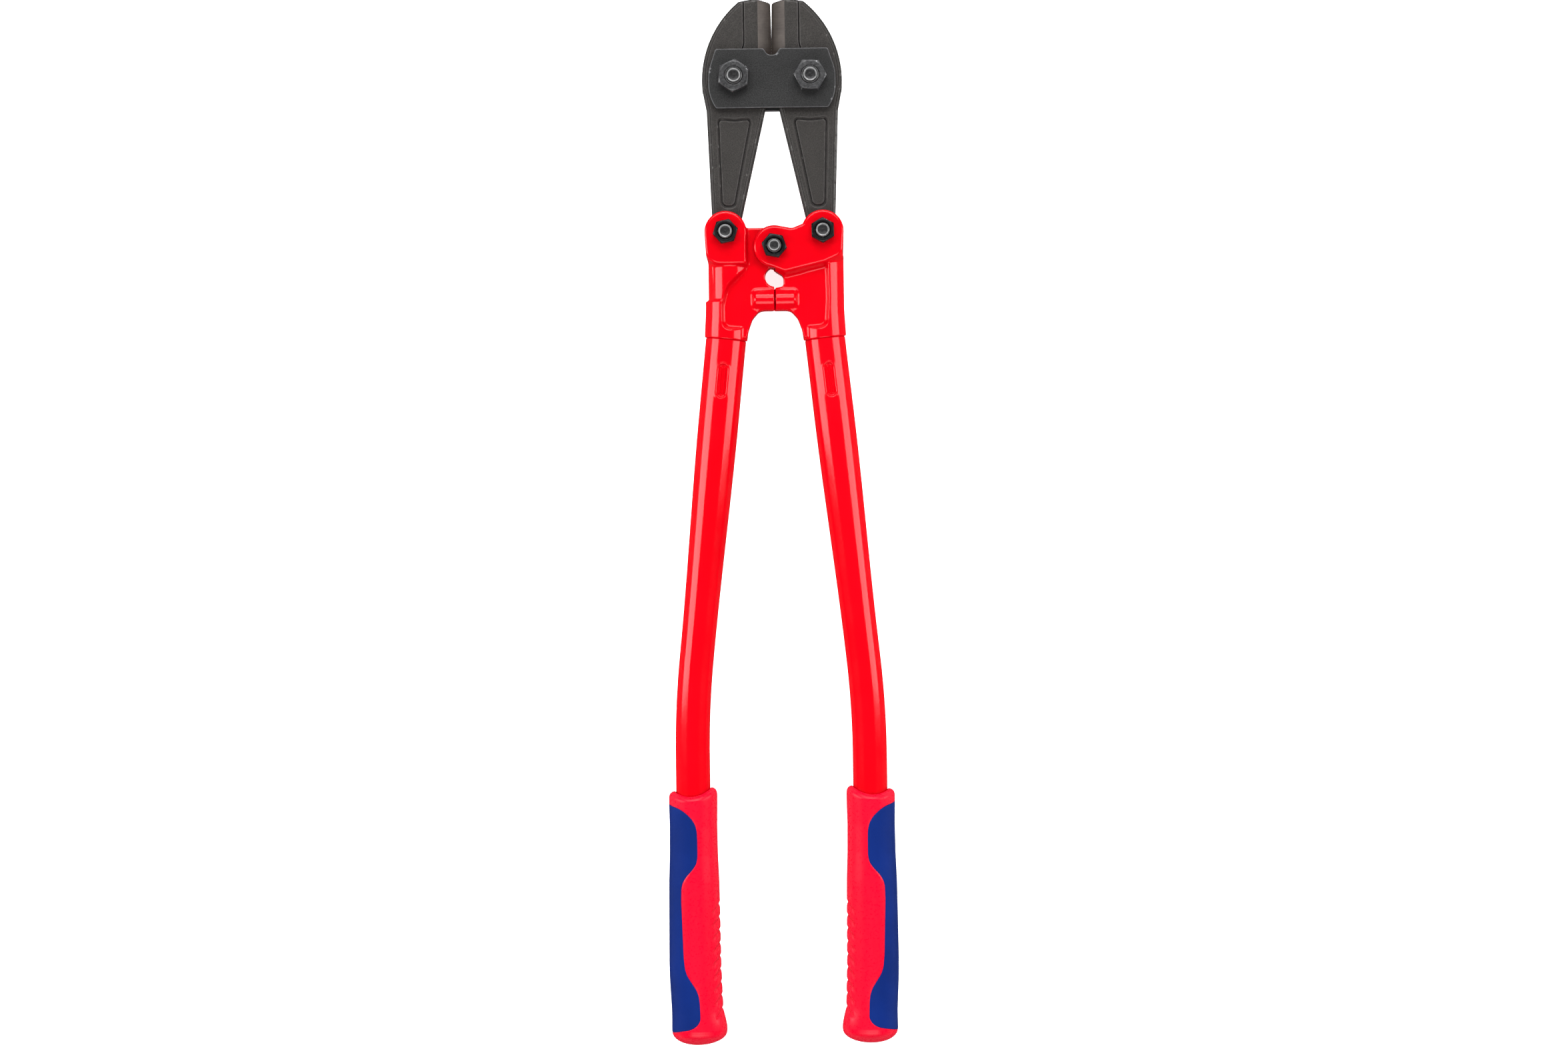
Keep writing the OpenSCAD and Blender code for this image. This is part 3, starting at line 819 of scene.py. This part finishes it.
def grip_centre(s):
    return GRIP_X + 0.25 - 1.15 * smooth(100, 140, s)


def mouth_drop(angle):
    """How far the mouth lies below the grip's upper end: lowest in front and behind."""
    return 3.8 * np.sin(angle) ** 2 + 1 + np.cos(angle)


def grip_radius(s, angle):
    """Radius of the grip at s below its upper end. Angle 0 faces outwards, pi inwards."""
    r = form_radius(s) + 0 * angle
    off = np.abs((angle + math.tau) % math.tau - math.pi)
    zone = smooth(0.86, 0.66, off)
    low = s - FIRST_RIB - 3.4 * (off / 0.58) ** 1.5
    k = np.clip(np.round(low / RIB_PITCH), 0, RIBS - 1)
    d = low - k * RIB_PITCH
    groove = np.where(d < 0, np.exp(-((d / 0.5) ** 2)), np.exp(-((d / 1.7) ** 2)))
    flare = FLARE * smooth(127, 141, s) * (r / 15.3) ** 2
    return r - RIB_DEPTH * zone * groove + flare * smooth(1.3, 0.5, off)


def grip_rows():
    """Distances down the grip, closer where the inlay starts and ends, and the inlay's half angle."""
    edge = inlay_edge[:, 0]
    s = np.concatenate(
        [np.linspace(0, 4, 14), np.linspace(4.5, 145, 280), np.linspace(145.3, LENGTH, 20),
         np.linspace(9.5, 12.5, 70), np.linspace(139, 143, 70), edge]
    )
    s = np.unique(np.round(s, 4))
    soft = np.linspace(-1.3, 1.3, 9)
    reach = np.mean([np.interp(s + d, edge, inlay_edge[:, 1]) for d in soft], axis=0)
    shift = GRIP_X - grip_centre(s)
    split = np.arccos(np.clip((reach + shift) / form_radius(s), -1, 1))
    return s, split


def grip_points(s, angle, sink):
    r = grip_radius(s, angle) - sink
    down = s + mouth_drop(angle) * (1 - smooth(0, 12, s))
    return np.stack([grip_centre(s) + r * np.cos(angle), TOP_Y - down, r * np.sin(angle)], -1)


def line_depth(off):
    """The line between shell and inlay, off being the angle from it."""
    return LINE * np.exp(-((off * SHELL_R / 0.45) ** 2))


def shell_grid(s, split):
    t = np.linspace(0, 1, 121)
    half = split[:, None]
    angle = half + (math.tau - 2 * half) * t
    sink = line_depth(np.minimum(angle - half, math.tau - half - angle)) * (half > 0.02)
    a = math.tau * t
    mouth = []
    for out, at in ((0, 8.0), (0.25, 5.0), (0.45, 2.6), (0.6, 1.0), (0.85, 0.25)):
        r = BORE_R + out
        y = TOP_Y - at - mouth_drop(a)
        mouth.append(np.stack([GRIP_X + 0.1 + r * np.cos(a), y, r * np.sin(a)], -1))
    return np.concatenate([np.array(mouth), grip_points(s[:, None], angle, sink)])


def inlay_grid(s, split):
    """From the row before the inlay starts to the row after it ends."""
    rows = np.flatnonzero(split > 0)
    rows = np.concatenate([[rows[0] - 1], rows, [rows[-1] + 1]])
    u = np.linspace(-1, 1, 61)
    half = split[rows][:, None]
    angle = half * 0.5 * (u + np.sin(u * math.pi / 2))
    return grip_points(s[rows][:, None], angle, line_depth(half - np.abs(angle)) - 0.05)


def weld(piece):
    """Joins coincident points."""
    join = piece.modifiers.new("join", "WELD")
    join.merge_threshold = 0.00002


def make_grips():
    s, split = grip_rows()
    shell, inlay = shell_grid(s, split), inlay_grid(s, split)
    rows, cols = shell.shape[:2]
    shell_faces = [f[::-1] for f in grid_faces(rows, cols, False)]
    shell_faces.append(tuple(range((rows - 1) * cols, rows * cols)))
    inlay_faces = [f[::-1] for f in grid_faces(*inlay.shape[:2], False)]
    for side in ("left", "right"):
        body, left = side + "_handle", side == "left"
        weld(put("grip_shell_" + side, shell.reshape(-1, 3), shell_faces, body, ["grip_" + side],
                 GRIP, None, left))
        weld(put("grip_inlay_" + side, inlay.reshape(-1, 3), inlay_faces, body, ["inlay_" + side],
                 INLAY, None, left))


make_grips()


# ---- stage, light and camera ----


FLOOR = 8.0  # metres from the middle to each side


def make_floor():
    """The tool leans on its bolt heads and grips, so the floor slopes under it."""
    grip_radius_z = 15.2
    slope = math.atan((MID - grip_radius_z) / 433)
    mesh = bpy.data.meshes.new("floor")
    corners = [(-FLOOR, -FLOOR, 0), (FLOOR, -FLOOR, 0), (FLOOR, FLOOR, 0), (-FLOOR, FLOOR, 0)]
    mesh.from_pydata(corners, [], [(0, 1, 2, 3)])
    floor = bpy.data.objects.new("floor", mesh)
    floor.location = (0, -0.007, -0.0001)
    floor.rotation_euler = (-slope, 0, 0)
    bpy.context.scene.collection.objects.link(floor)
    # Painted light: the floor glows (emission 0.8), so it stays white where the tool shades it, and it
    # lights the tool from below.
    p = Paint("pale_floor", Roughness=0.75, Emission_Color=(1, 1, 1, 1), Emission_Strength=0.8)
    tone = p.mix(p.span(p.noise(2.0, 3.0), 0.3, 0.7), (0.90, 0.90, 0.90), (0.93, 0.93, 0.93))
    mesh.materials.append(p.done(Base_Color=tone))
    floor.visible_glossy = False


def lamp(name, place, aim, width, height, watts):
    data = bpy.data.lights.new(name, "AREA")
    data.shape = "RECTANGLE"
    data.size, data.size_y, data.energy = width, height, watts
    light = bpy.data.objects.new(name, data)
    light.location = place
    light.rotation_mode = "QUATERNION"
    light.rotation_quaternion = (Vector(aim) - Vector(place)).to_track_quat("-Z", "Y")
    light.visible_camera = False
    bpy.context.scene.collection.objects.link(light)


make_floor()
lamp("left_panel", (-1.15, 0, 0.58), (0, 0, 0), width=0.5, height=0.95, watts=13)
lamp("right_panel", (1.15, 0, 0.58), (0, 0, 0), width=0.5, height=0.95, watts=10.5)
lamp("far_panel", (0, 1.5, 1.0), (0, 0, 0), width=1.8, height=0.4, watts=26)
lamp("far_fill", (0, 1.5, 2.5), (0, 0, 0), width=3.0, height=1.2, watts=72)
lamp("near_fill", (0, -2.0, 2.4), (0, -0.2, 0), width=3.0, height=1.6, watts=78)

world = bpy.data.worlds.new("studio")
world.use_nodes = True
world.node_tree.nodes["Background"].inputs["Color"].default_value = (1, 1, 1, 1)
world.node_tree.nodes["Background"].inputs["Strength"].default_value = 0.06
bpy.context.scene.world = world
bpy.context.scene.view_settings.view_transform = "Standard"


def make_camera():
    """Straight above the tool, rolled as the photograph is."""
    distance, width, roll = 2.6, 0.9161, math.radians(-0.8)
    data = bpy.data.cameras.new("camera")
    data.sensor_width = 36
    data.lens = 36 * distance / width
    data.clip_end = 100
    camera = bpy.data.objects.new("camera", data)
    place = Matrix.Translation((0.00345, -0.1609, MID / 1000 + distance))
    camera.matrix_world = place @ Matrix.Rotation(roll, 4, "Z")
    bpy.context.scene.collection.objects.link(camera)
    bpy.context.scene.camera = camera


make_camera()
